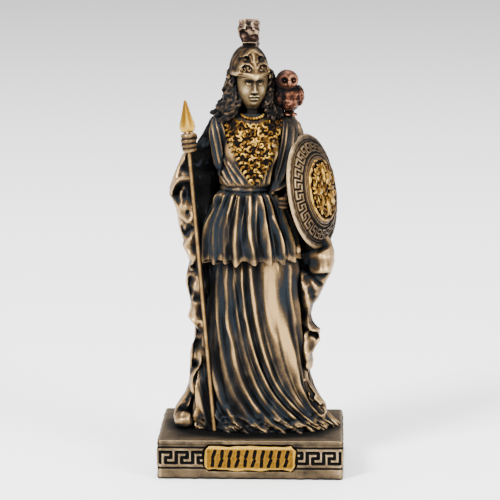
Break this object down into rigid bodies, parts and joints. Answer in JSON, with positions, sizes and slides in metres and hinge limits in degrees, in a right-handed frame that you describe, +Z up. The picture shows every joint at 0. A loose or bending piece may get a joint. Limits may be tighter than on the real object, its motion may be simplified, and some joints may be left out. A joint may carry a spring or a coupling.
{
  "type": "athena statuette",
  "caption": "Souvenir statuette of the goddess Athena with crested helmet, spear, round shield and owl, cast in bronze-coloured resin on a plinth with a key pattern.",
  "frame": {"origin": "middle of the plinth's underside", "axes": "+Z up, -Y towards the viewer whom the goddess faces, +X to the viewer's right"},
  "size_m": [0.036, 0.028, 0.0873],
  "materials": {
    "plinth_bronze": "cast resin with brushed brown-bronze paint, dark in its grooves",
    "bronze": "cast resin painted near-black and rubbed back to a satin bronze on its raised parts",
    "gold": "cast resin with satin gold paint",
    "shield_bronze": "cast resin in rubbed dark bronze with a gold emblem",
    "copper": "cast resin with rubbed copper-brown paint"
  },
  "bodies": {
    "root": {"plinth": "plinth_bronze", "goddess": "bronze", "spear": "gold", "shield": "shield_bronze", "owl": "copper"}
  },
  "joints": []
}
